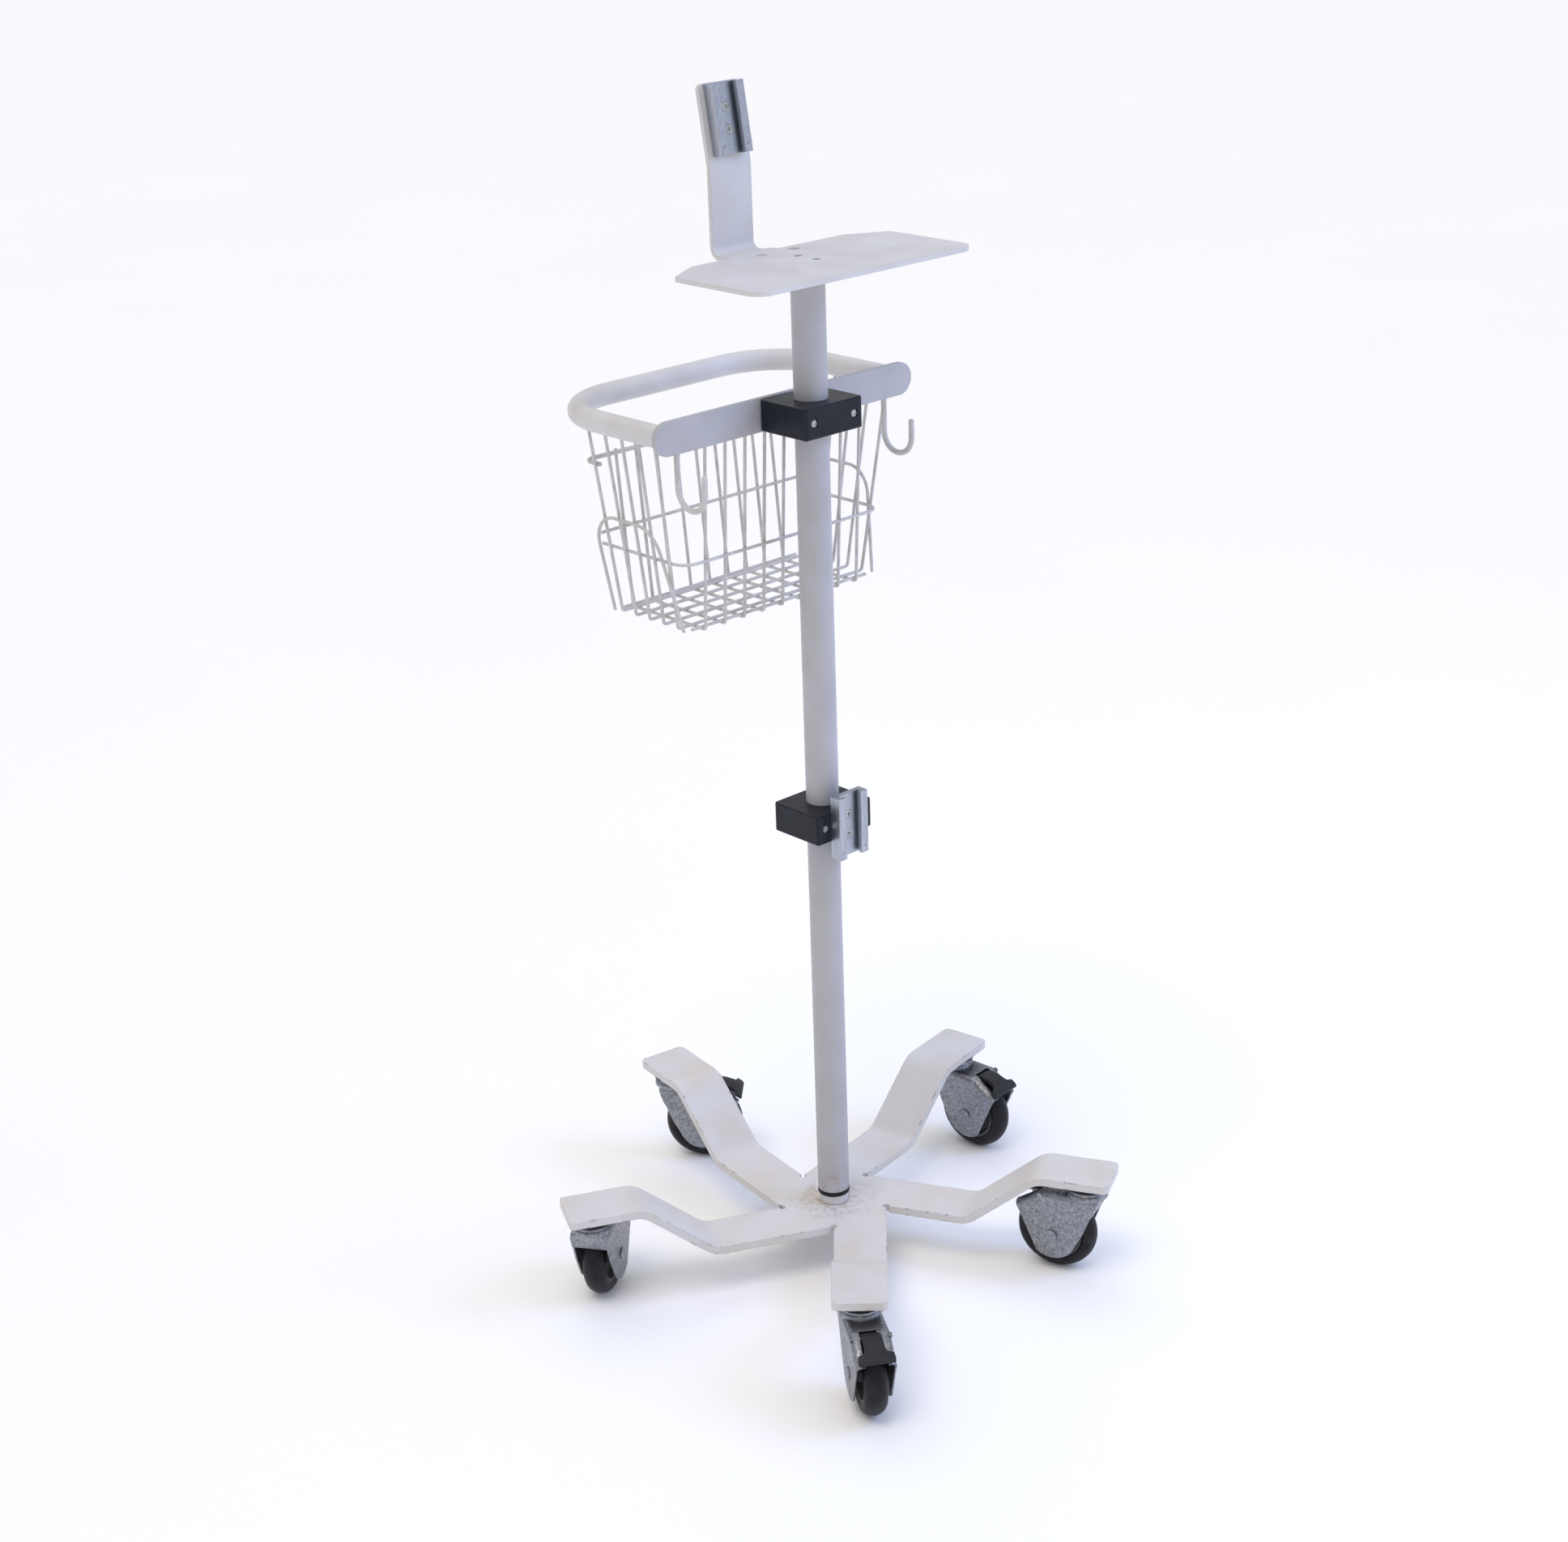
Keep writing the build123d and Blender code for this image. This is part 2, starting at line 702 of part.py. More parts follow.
stack = 2 * wire_r - weld  # spacing of two wires welded across each other
turn_in = 8.0  # the upright wires turn in under the floor by this much
wire_bend_r = 4.0
wire_top = handle_z - 9.0  # on the bar, clear of the clamp's screw heads
front_spots = [(i - (front_wires - 1) / 2) * wire_pitch for i in range(front_wires)]
front_y = bar_back + wire_r - weld
wires(
    "basket_front",
    [
        [(x, front_y, wire_top), (x, floor_front, floor_z), (x, floor_front + turn_in, floor_z)]
        for x in front_spots
    ],
    wire_r,
    wire_bend_r,
)
wires(
    "basket_back",
    [
        [(x, floor_back - turn_in, floor_z), (x, floor_back, floor_z), (x, rim_y, rim_z + rim_wire_r)]
        for x in front_spots
    ],
    wire_r,
    wire_bend_r,
)

under_tube = handle_z - tube_r + weld
upper_z = floor_z + stack  # the lengthwise floor wires lie on the crossways ones
shares = [i / (end_wires - 1) for i in range(end_wires)]
heads = [mix(*end_head, share) for share in shares]
feet = [mix(*end_foot, share) for share in shares]


def end_x(z):
    """How far out the sloping end panels stand at a height."""
    return mix(floor_half, leg_x, (z - upper_z) / (under_tube - upper_z))


for side, sign in (("left", -1), ("right", 1)):
    wires(
        f"basket_{side}_end",
        [
            [
                (sign * leg_x, head, under_tube),
                (sign * floor_half, foot, upper_z),
                (sign * (floor_half - turn_in), foot, upper_z),
            ]
            for head, foot in zip(heads, feet)
        ],
        wire_r,
        wire_bend_r,
    )

long_ys = [hoop_foot[0], *feet, hoop_foot[1]]
floor_ends = floor_front + turn_in, floor_back - turn_in
crossways = [[(x, y, floor_z) for y in floor_ends] for x in front_spots]
long_half = floor_half - turn_in
lengthwise = [[(-long_half, y, upper_z), (long_half, y, upper_z)] for y in long_ys]
wires("basket_floor", crossways + lengthwise, wire_r)

belt_share = (wire_top - belt_z) / (wire_top - floor_z)
front_at_belt = mix(front_y, floor_front, belt_share)
belt_x = end_x(belt_z) - stack
belt_y = front_at_belt - stack
wires(
    "basket_belt",
    [
        [
            (-belt_x, belt_back, belt_z),
            (-belt_x, belt_y, belt_z),
            (belt_x, belt_y, belt_z),
            (belt_x, belt_back, belt_z),
        ]
    ],
    wire_r,
    belt_corner_r,
)

rim_stack = wire_r + rim_wire_r - weld
back_lean = (rim_y - floor_back) / (rim_z + rim_wire_r - floor_z)
rim_line = floor_back + (rim_z - floor_z) * back_lean - rim_stack
rim_x = end_x(rim_z) - rim_stack
rim_start = end_head[1] - rim_lap
rail_y = floor_back + (back_rail_z - floor_z) * back_lean - stack
rim_rod = rod(
    [
        (-rim_x, rim_start, rim_z),
        (-rim_x, rim_line, rim_z),
        (rim_x, rim_line, rim_z),
        (rim_x, rim_start, rim_z),
    ],
    rim_wire_r,
    rim_corner_r,
)
rail_x = end_x(back_rail_z) - stack
back_rod = rod([(-rail_x, rail_y, back_rail_z), (rail_x, rail_y, back_rail_z)], wire_r)
with BuildPart() as basket_rim:
    add(rim_rod)
    add(back_rod)
save(basket_rim.part, "basket_rim")

hoop_paths = []
for sign in (-1, 1):
    foot_x = sign * (end_x(upper_z) + stack)
    head_x = sign * (end_x(hoop_z) + stack)
    hoop_paths.append(
        [
            (foot_x, hoop_foot[0], upper_z),
            (head_x, hoop_head[0], hoop_z),
            (head_x, hoop_head[1], hoop_z),
            (foot_x, hoop_foot[1], upper_z),
        ]
    )
wires("basket_hoops", hoop_paths, wire_r, hoop_r)

# ---- casters ----
stem_spots = [
    turned(first_arm + i * arm_turn, arm_tip - stem_inset, arm_w / 2) for i in range(arm_count)
]
stud_top = tip_z - stud_cap
crown_low = crown_z - fork_sheet
cup_top = seat_low - skin_gap
stud_head_top = crown_low - skin_gap
with BuildPart() as caster_studs:
    with BuildSketch(Plane.XY.offset(stud_head_top)):
        with Locations(*stem_spots):
            Circle(stud_r)
    extrude(amount=stud_top - stud_head_top)
    with BuildSketch(Plane.XY.offset(stud_head_top)):
        with Locations(*stem_spots):
            Circle(stud_head_r)
    extrude(amount=-stud_head_t)
save(caster_studs.part, "caster_studs")

with BuildPart() as caster_seats:
    with BuildSketch(Plane.XY.offset(seat_low)):
        with Locations(*stem_spots):
            Circle(seat_r)
    extrude(amount=seat_t)
    fillet(caster_seats.edges().group_by(Axis.Z)[0], radius=seat_edge_r)
    with BuildSketch(Plane.XY.offset(seat_low)):
        with Locations(*stem_spots):
            Circle(stud_r)
    extrude(amount=seat_t, mode=Mode.SUBTRACT)
save(caster_seats.part, "caster_seats")

# the fork's side plate, as rounded corners that a hull joins: along, up, corner radius
plate_corners = [
    (trail, wheel_r, plate_low_r),
    (-18.0, 101.0, plate_round),
    (-8.0, 84.0, plate_round),
    (73.5, 82.0, plate_round),
    (66.0, 96.0, plate_round),
    (53.0, crown_z - plate_round, plate_round),
]
pedal_pivot = 52.0, 102.5
pedal_outline = [
    (46.5, 101.0),
    (46.5, 106.0),
    (56.0, 107.5),
    (70.0, 104.0),
    (86.0, 95.5),
    (86.0, 91.0),
    (72.0, 96.0),
    (60.0, 99.0),
]
pedal_w = 26.0
pedal_pad_w = 44.0
pedal_pad_start = 80.0
pedal_pad_end = 100.0


def swivel_planes(spot, heading):
    """The plane on the floor under a stem, and the upright one along its trail."""
    ex, ey = turned(heading, 1.0)
    ground = Plane(origin=(*spot, 0), x_dir=(ex, ey, 0), z_dir=(0, 0, 1))
    return ground, upright(spot, heading)


def fork(ground, side):
    """A stamped fork: two side plates, a crown over the wheel and the bearing cup."""
    with BuildPart() as body:
        with BuildSketch(side):
            for along, up, corner in plate_corners:
                with Locations((along, up)):
                    Circle(corner)
            make_hull()
        extrude(amount=fork_half, both=True)
        with BuildSketch(Plane(origin=side.origin, x_dir=-side.z_dir, z_dir=side.x_dir)):
            with BuildLine():
                outer = [(-fork_half, 0), (-fork_half, crown_z), (fork_half, crown_z), (fork_half, 0)]
                FilletPolyline(*outer, radius=bend_r, close=False)
                Line((-fork_half, 0), (fork_half, 0))
            make_face()
            with Locations((0, crown_low / 2)):
                Rectangle(fork_inner, crown_low, mode=Mode.SUBTRACT)
        extrude(amount=2 * trail + wheel_r, both=True, mode=Mode.INTERSECT)
        # behind the bearing cup the crown is open for the pedal
        with BuildSketch(side):
            with Locations((crown_end + trail, crown_z)):
                Rectangle(2 * trail, 2 * (crown_z - crown_low) + span)
        extrude(amount=fork_inner / 2, both=True, mode=Mode.SUBTRACT)
        with BuildSketch(ground.offset(crown_z)):
            Circle(cup_r)
        extrude(amount=cup_top - crown_z)
        fillet(body.edges().group_by(Axis.Z)[-1], radius=cup_edge_r)
        with BuildSketch(ground.offset(crown_low)):
            Circle(stud_r + fit_gap)
        extrude(amount=cup_top - crown_low, mode=Mode.SUBTRACT)
        with BuildSketch(side):
            with Locations((trail, wheel_r)):
                Circle(axle_r)
            with Locations(pedal_pivot):
                Circle(pedal_pin_r)
        extrude(amount=fork_half, both=True, mode=Mode.SUBTRACT)
    return body.part


def pins(side):
    """The wheel's riveted axle and the pedal's pin."""
    with BuildPart() as pair:
        axle = (trail, wheel_r), axle_r, axle_head_r
        pin = pedal_pivot, pedal_pin_r, pedal_head_r
        for spot, shank, head in (axle, pin):
            with BuildSketch(side):
                with Locations(spot):
                    Circle(shank)
            extrude(amount=fork_half, both=True)
            for face in (side.offset(fork_half), side.offset(-fork_half - rivet_t)):
                with BuildSketch(face):
                    with Locations(spot):
                        Circle(head)
                extrude(amount=rivet_t)
    return pair.part


def axle_plane(side):
    """A plane through the axle: its x runs along the axle."""
    middle = side.from_local_coords((trail, wheel_r, 0))
    return Plane(origin=middle, x_dir=side.z_dir, z_dir=side.x_dir)


def wheel_core(side):
    """The wheel's nylon centre: hub, web and rim, turned about the axle."""
    axle = axle_plane(side)
    hub_half = fork_inner / 2 - skin_gap
    rim_half = wheel_w / 2 - rim_inset
    with BuildPart() as core:
        with BuildSketch(axle):
            with BuildLine():
                right = [
                    (0, axle_r + fit_gap),
                    (hub_half, axle_r + fit_gap),
                    (hub_half, hub_r),
                    (web_half, web_r),
                    (web_half, rim_r - rim_step),
                    (rim_half, rim_r - rim_lip),
                    (rim_half, rim_r),
                    (0, rim_r),
                ]
                Polyline(*right)
                mirror(about=Plane.YZ)
            make_face()
        revolve(axis=Axis(axle.origin, axle.x_dir))
    return core.part


def tread(side):
    """The rubber tread, crowned across its width."""
    axle = axle_plane(side)
    half = wheel_w / 2
    side_r = wheel_r - tread_side
    with BuildPart() as ring:
        with BuildSketch(axle):
            with BuildLine():
                inner = Line((-half, rim_r), (half, rim_r))
                right = Line(inner @ 1, (half, side_r))
                left = Line(inner @ 0, (-half, side_r))
                ThreePointArc(left @ 1, (0, wheel_r), right @ 1)
            make_face()
        revolve(axis=Axis(axle.origin, axle.x_dir))
    return ring.part


def pedal(side):
    """The brake pedal: a narrow lever between the plates with a wide pad behind them."""
    with BuildPart() as lever:
        with BuildSketch(side):
            with BuildLine():
                Polyline(*pedal_outline, close=True)
            make_face()
        extrude(amount=pedal_w / 2, both=True)
        with BuildSketch(side):
            with BuildLine():
                Polyline(*pedal_outline, close=True)
            make_face()
            with Locations(((pedal_pad_start + pedal_pad_end) / 2, crown_z / 2)):
                Rectangle(pedal_pad_end - pedal_pad_start, 2 * crown_z, mode=Mode.INTERSECT)
        extrude(amount=pedal_pad_w / 2, both=True)
        with BuildSketch(side):
            with Locations(pedal_pivot):
                Circle(pedal_pin_r + fit_gap)
        extrude(amount=pedal_w, both=True, mode=Mode.SUBTRACT)
    return lever.part


for name, spot, heading in zip(caster_names, stem_spots, trail_turns):
    ground, side = swivel_planes(spot, heading)
    save(fork(ground, side), f"fork_{name}")
    save(pins(side), f"pins_{name}")
    save(wheel_core(side), f"wheel_{name}")
    save(tread(side), f"tread_{name}")
    save(pedal(side), f"pedal_{name}")
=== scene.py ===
import json
import math

import bmesh
import bpy
from mathutils import Matrix, Vector


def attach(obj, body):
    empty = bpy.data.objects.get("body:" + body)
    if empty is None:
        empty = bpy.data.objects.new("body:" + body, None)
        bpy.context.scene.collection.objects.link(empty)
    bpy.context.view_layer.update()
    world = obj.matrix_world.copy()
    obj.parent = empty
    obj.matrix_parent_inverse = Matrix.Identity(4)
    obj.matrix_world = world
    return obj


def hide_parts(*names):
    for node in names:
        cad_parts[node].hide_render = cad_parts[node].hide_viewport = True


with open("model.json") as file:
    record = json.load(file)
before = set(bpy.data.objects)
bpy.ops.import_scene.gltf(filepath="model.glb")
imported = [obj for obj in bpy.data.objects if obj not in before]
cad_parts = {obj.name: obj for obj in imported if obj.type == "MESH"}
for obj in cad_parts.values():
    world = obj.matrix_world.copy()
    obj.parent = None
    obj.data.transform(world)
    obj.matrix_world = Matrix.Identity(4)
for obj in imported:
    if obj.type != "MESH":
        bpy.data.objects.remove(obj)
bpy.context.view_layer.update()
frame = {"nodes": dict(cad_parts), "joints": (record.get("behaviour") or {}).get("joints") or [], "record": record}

# Rolling equipment stand. Everything is in metres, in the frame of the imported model.
mm = 0.001
nodes = frame["nodes"]
scene = bpy.context.scene
casterNames = ["front_left", "front_right", "right", "rear", "left"]
jointOf = {j["child"]: j for j in frame["joints"]}
bpy.ops.object.select_all(action="DESELECT")
print("frame loaded:", len(nodes), "nodes")


# a hex colour as seen on a screen, turned to the linear values that shaders want
def hexColor(text):
    parts = [int(text[i:i + 2], 16) / 255 for i in (1, 3, 5)]
    return tuple(c / 12.92 if c < 0.04045 else ((c + 0.055) / 1.055) ** 2.4 for c in parts) + (1.0,)


# one node with its settings; a setting that is an output socket becomes a link
def addNode(tree, kind, settings=None, **attributes):
    node = tree.nodes.new(kind)
    for name, value in attributes.items():
        setattr(node, name, value)
    for name, value in (settings or {}).items():
        socket = node.inputs[name]
        if isinstance(value, bpy.types.NodeSocket):
            tree.links.new(value, socket)
        else:
            socket.default_value = value
    return node


# an empty material with its output node and object coordinates
def startMaterial(name):
    material = bpy.data.materials.new(name)
    material.use_nodes = True
    tree = material.node_tree
    tree.nodes.clear()
    place = addNode(tree, "ShaderNodeTexCoord").outputs["Object"]
    return material, tree, place


def finishMaterial(tree, shader):
    addNode(tree, "ShaderNodeOutputMaterial", {"Surface": shader.outputs["BSDF"]})


# noise whose features are about so many millimetres across
def grain(tree, place, size, detail=3.0, roughness=0.5):
    scale = 1 / (size * mm)
    settings = {"Vector": place, "Scale": scale, "Detail": detail, "Roughness": roughness}
    return addNode(tree, "ShaderNodeTexNoise", settings).outputs["Fac"]


# A value squeezed from one range to another. Noise lies mostly between 0.3 and 0.7, so a narrow
# range inside that gives patches with hard borders, and a wide one gives soft clouds.
def remap(tree, value, fromMin, fromMax, toMin=0.0, toMax=1.0):
    settings = {0: value, 1: fromMin, 2: fromMax, 3: toMin, 4: toMax}
    return addNode(tree, "ShaderNodeMapRange", settings).outputs[0]


def mathNode(tree, operation, first, second=0.0):
    return addNode(tree, "ShaderNodeMath", {0: first, 1: second}, operation=operation).outputs[0]


def mixColor(tree, share, first, second):
    node = addNode(tree, "ShaderNodeMix", {0: share, 6: first, 7: second}, data_type="RGBA")
    return node.outputs[2]


# the normal that the surface would have with its edges rounded to this radius, in mm
def roundedNormal(tree, radius):
    return addNode(tree, "ShaderNodeBevel", {"Radius": radius * mm}, samples=6).outputs["Normal"]


# how near a point is to a sharp edge, from the difference of the rounded and the flat normal
def edgeMask(tree, radius, low, high):
    rounded = roundedNormal(tree, radius)
    flat = addNode(tree, "ShaderNodeNewGeometry").outputs["Normal"]
    dot = addNode(tree, "ShaderNodeVectorMath", {0: rounded, 1: flat}, operation="DOT_PRODUCT")
    return remap(tree, dot.outputs["Value"], high, low)


def bump(tree, height, distance, strength, normal=None):
    settings = {"Height": height, "Distance": distance * mm, "Strength": strength}
    if normal is not None:
        settings["Normal"] = normal
    return addNode(tree, "ShaderNodeBump", settings).outputs["Normal"]


# Polyester powder coat on steel: baked on, so it has a faint orange peel and a soft gloss.
# Age gives it a warm mottle, brown stains round the pole's foot and dark chips on sharp edges.
# Sizes are in mm. Stains are full at stainCore from the pole's axis and up to the height stainFull,
# and are gone at stainReach and stainTop. Real chips are under a millimetre; these are drawn wider
# so that they show.
paintLook = {
    "light": "#d2d1d2", "dull": "#c8c5c3", "cloudSize": 60, "roughness": 0.4, "glossSize": 9,
    "peel": 0.35, "peelSize": 1.6, "peelDepth": 0.04, "edge": 0.7,
    "stains": 0.0, "stainColor": "#8a6748", "stainSize": 11, "stainCore": 18, "stainReach": 60,
    "stainFull": 80, "stainTop": 125,
    "chips": 0.0, "chipColor": "#5d5551", "chipSize": 11, "chipReach": 3.0,
}


def makePowderCoat(name, look):
    material, tree, place = startMaterial(name)
    clouds = remap(tree, grain(tree, place, look["cloudSize"], 4), 0.35, 0.7)
    color = mixColor(tree, clouds, hexColor(look["light"]), hexColor(look["dull"]))
    if look["stains"]:
        parts = addNode(tree, "ShaderNodeSeparateXYZ", {0: place})
        across = mathNode(tree, "POWER", parts.outputs["X"], 2.0)
        along = mathNode(tree, "POWER", parts.outputs["Y"], 2.0)
        reach = mathNode(tree, "SQRT", mathNode(tree, "ADD", across, along))
        near = remap(tree, reach, look["stainReach"] * mm, look["stainCore"] * mm)
        foot = remap(tree, parts.outputs["Z"], look["stainTop"] * mm, look["stainFull"] * mm)
        near = mathNode(tree, "MULTIPLY", near, foot)
        patches = remap(tree, grain(tree, place, look["stainSize"], 6, 0.7), 0.46, 0.66)
        stain = mathNode(tree, "MULTIPLY", near, patches)
        stain = mathNode(tree, "MULTIPLY", stain, look["stains"])
        color = mixColor(tree, stain, color, hexColor(look["stainColor"]))
    if look["chips"]:
        edges = edgeMask(tree, look["chipReach"], 0.95, 0.985)
        flecks = remap(tree, grain(tree, place, look["chipSize"], 6, 0.75), 0.545, 0.6)
        chips = mathNode(tree, "MULTIPLY", edges, flecks)
        chips = mathNode(tree, "MULTIPLY", chips, look["chips"])
        color = mixColor(tree, chips, color, hexColor(look["chipColor"]))
    peel = grain(tree, place, look["peelSize"], 2)
    normal = bump(tree, peel, look["peelDepth"], look["peel"], roundedNormal(tree, look["edge"]))
    gloss = remap(tree, grain(tree, place, look["glossSize"], 3), 0.3, 0.7,
                  look["roughness"] - 0.05, look["roughness"] + 0.07)
    settings = {"Base Color": color, "Roughness": gloss, "IOR": 1.5, "Normal": normal}
    finishMaterial(tree, addNode(tree, "ShaderNodeBsdfPrincipled", settings))
    return material


# Zinc-plated pressed steel: bright metal under a blotchy grey skin of oxide.
def makeZinc(name, look):
    material, tree, place = startMaterial(name)
    blotches = remap(tree, grain(tree, place, look["blotchSize"], 5, 0.62), 0.36, 0.66)
    color = mixColor(tree, blotches, hexColor(look["bright"]), hexColor(look["dull"]))
    spots = grain(tree, place, look["blotchSize"] * look["spotShare"], 3, 0.6)
    spots = remap(tree, spots, 0.62, 0.72, 0.0, 0.8)
    color = mixColor(tree, spots, color, hexColor(look["spot"]))
    gloss = remap(tree, blotches, 0.0, 1.0, look["roughness"], look["roughness"] + 0.2)
    pits = grain(tree, place, look["pitSize"], 4)
    normal = bump(tree, pits, look["pitDepth"], 0.25, roundedNormal(tree, look["edge"]))
    settings = {"Base Color": color, "Metallic": 1.0, "Roughness": gloss, "Normal": normal}
    finishMaterial(tree, addNode(tree, "ShaderNodeBsdfPrincipled", settings))
    return material


# Anodised aluminium, drawn through a die: fine lines run along its length.
def makeAnodised(name, look):
    material, tree, place = startMaterial(name)
    settings = {"Vector": place, "Scale": (1.0, 1.0, look["stretch"])}
    stretched = addNode(tree, "ShaderNodeMapping", settings).outputs["Vector"]
    lines = grain(tree, stretched, look["lineGap"], 3, 0.6)
    tone = remap(tree, lines, 0.35, 0.65)
    color = mixColor(tree, tone, hexColor(look["bright"]), hexColor(look["dull"]))
    gloss = remap(tree, lines, 0.3, 0.7, look["roughness"] - 0.05, look["roughness"] + 0.08)
    normal = bump(tree, lines, look["lineDepth"], 0.3, roundedNormal(tree, look["edge"]))
    settings = {"Base Color": color, "Metallic": 1.0, "Roughness": gloss, "Normal": normal}
    finishMaterial(tree, addNode(tree, "ShaderNodeBsdfPrincipled", settings))
    return material


# Moulded plastic: an even colour with a fine spark-eroded texture, and a painted highlight: a paler colour laid
# along its edges.
# the edge settings draw a painted highlight: a pale blue-grey laid along sharp edges, where light would glint
plasticLook = {"edgeHighlightColor": "#8b909c", "edgeHighlightReach": 0.8, "edgeHighlightSize": 3, "depth": 0.03, "edge": 0.5}


def makePlastic(name, look):
    material, tree, place = startMaterial(name)
    haze = remap(tree, grain(tree, place, look["hazeSize"], 4), 0.35, 0.7)
    color = mixColor(tree, haze, hexColor(look["base"]), hexColor(look["haze"]))
    # painted highlight: a paler colour along sharp edges, broken up by noise
    edges = edgeMask(tree, look["edgeHighlightReach"], 0.9, 0.99)
    paintedHighlight = mathNode(tree, "MULTIPLY", edges, grain(tree, place, look["edgeHighlightSize"], 3))
    paintedHighlight = mathNode(tree, "MULTIPLY", paintedHighlight, look["edgeHighlight"])
    color = mixColor(tree, paintedHighlight, color, hexColor(look["edgeHighlightColor"]))
    texture = grain(tree, place, look["texture"], 2)
    normal = bump(tree, texture, look["depth"], look["bump"], roundedNormal(tree, look["edge"]))
    gloss = remap(tree, haze, 0.0, 1.0, look["roughness"], look["roughness"] + 0.12)
    settings = {"Base Color": color, "Roughness": gloss, "IOR": 1.5, "Normal": normal,
                "Specular IOR Level": look["shine"]}
    finishMaterial(tree, addNode(tree, "ShaderNodeBsdfPrincipled", settings))
    return material


# Vulcanised rubber: near black and dull, greyed by floor dust where it rolls.
def makeRubber(name, look):
    material, tree, place = startMaterial(name)
    dust = grain(tree, place, look["dustSize"], 5, 0.6)
    dust = remap(tree, dust, 0.4, 0.72, 0.0, look["dust"])
    color = mixColor(tree, dust, hexColor(look["base"]), hexColor(look["dustColor"]))
    scuffs = grain(tree, place, look["scuffSize"], 4)
    normal = bump(tree, scuffs, look["scuffDepth"], 0.35)
    gloss = remap(tree, dust, 0.0, 0.5, look["roughness"], 0.75)
    settings = {"Base Color": color, "Roughness": gloss, "IOR": 1.52, "Normal": normal,
                "Specular IOR Level": look["shine"]}
    finishMaterial(tree, addNode(tree, "ShaderNodeBsdfPrincipled", settings))
    return material


zincLook = {"spotShare": 0.35, "pitSize": 2.2, "pitDepth": 0.05, "edge": 0.5}
finishes = {
    "powderCoat": makePowderCoat("powder coat on tube", paintLook),
    "powderCoatBase": makePowderCoat(
        "powder coat on plate",
        {**paintLook, "dull": "#cec8c1", "edge": 1.0, "stains": 0.75, "chips": 0.85}),
    "powderCoatWire": makePowderCoat(
        "powder coat on wire",
        {**paintLook, "light": "#cccac8", "dull": "#b9b5b0", "cloudSize": 18, "edge": 0.2}),
    # the pole and the handle bar: the same powder coat drawn darker, as painted shade; the brown stains at the
    # pole's foot are real
    "powderCoatShaded": makePowderCoat(
        "powder coat on pole, darkened as painted shade",
        {**paintLook, "light": "#b4b3b8", "dull": "#abaaac", "stains": 0.7, "stainReach": 40}),
    "zincFork": makeZinc(
        "zinc plate on pressed steel",
        {**zincLook, "bright": "#a6a8ae", "dull": "#7c7e83", "spot": "#55575c",
         "blotchSize": 3.6, "roughness": 0.34}),
    "zincScrew": makeZinc(
        "zinc plate on fasteners",
        {**zincLook, "bright": "#c9cac9", "dull": "#a3a39f", "spot": "#8a8a86",
         "blotchSize": 5, "roughness": 0.22}),
    "anodised": makeAnodised(
        "anodised aluminium",
        {"bright": "#bcc1cb", "dull": "#9fa4ae", "stretch": 0.03, "lineGap": 0.9,
         "lineDepth": 0.03, "edge": 0.4, "roughness": 0.34}),
    # each plastic below has a painted highlight on its edges; its strength is the value given after its bump
    "clampNylon": makePlastic(
        "glass-filled nylon",
        {**plasticLook, "base": "#10141d", "haze": "#191e29", "hazeSize": 22, "texture": 0.7,
         "bump": 0.3, "edgeHighlight": 0.45, "roughness": 0.26, "shine": 0.26}),
    "blackNylon": makePlastic(
        "black nylon",
        {**plasticLook, "base": "#15161a", "haze": "#1e1f24", "hazeSize": 15, "texture": 0.7,
         "bump": 0.3, "edgeHighlight": 0.3, "roughness": 0.45, "shine": 0.3}),
    "pedalPlastic": makePlastic(
        "black polypropylene",
        {**plasticLook, "base": "#1a1b20", "haze": "#25262b", "hazeSize": 9, "texture": 0.9,
         "bump": 0.5, "edgeHighlight": 0.5, "roughness": 0.5, "shine": 0.4}),
    "wheelNylon": makePlastic(
        "grey wheel nylon",
        {**plasticLook, "base": "#47484b", "haze": "#5a5b5d", "hazeSize": 6, "texture": 0.9,
         "bump": 0.3, "edgeHighlight": 0.2, "roughness": 0.5, "shine": 0.5}),
    "treadRubber": makeRubber(
        "wheel rubber",
        {"base": "#0b0c13", "dust": 0.08, "dustColor": "#6d6a68", "dustSize": 12,
         "scuffSize": 1.8, "scuffDepth": 0.06, "roughness": 0.45, "shine": 0.25}),
}
finishOfSlot = {
    "powder_coat": "powderCoat", "black_plastic": "blackNylon", "clamp_nylon": "clampNylon",
    "rail_aluminium": "anodised", "zinc_steel": "zincScrew", "zinc_fork": "zincFork",
    "wheel_plastic": "wheelNylon", "tread_rubber": "treadRubber", "pedal_plastic": "pedalPlastic",
}
for part in frame["record"]["subparts"]:
    finish = finishOfSlot[part["material_slot"]]
    if part["node"] == "base_star":
        finish = "powderCoatBase"
    # the pole and the handle bar take the darker copy of the coat, which is painted shade
    elif part["node"] in ("pole", "handle_bar"):
        finish = "powderCoatShaded"
    elif part["node"].startswith("basket_") or part["node"] == "bag_hooks":
        finish = "powderCoatWire"
    mesh = nodes[part["node"]].data
    mesh.materials.clear()
    mesh.materials.append(finishes[finish])
print("materials made:", len(finishes))


# a new piece for modelling by hand: one primitive at its size and place, in edit mode
def startPiece(name, settings, add):
    bpy.ops.object.select_all(action="DESELECT")
    add(**settings)
    bpy.ops.object.transform_apply(location=True, rotation=True, scale=True)
    piece = bpy.context.object
    piece.name = name
    bpy.ops.object.mode_set(mode="EDIT")
    return piece


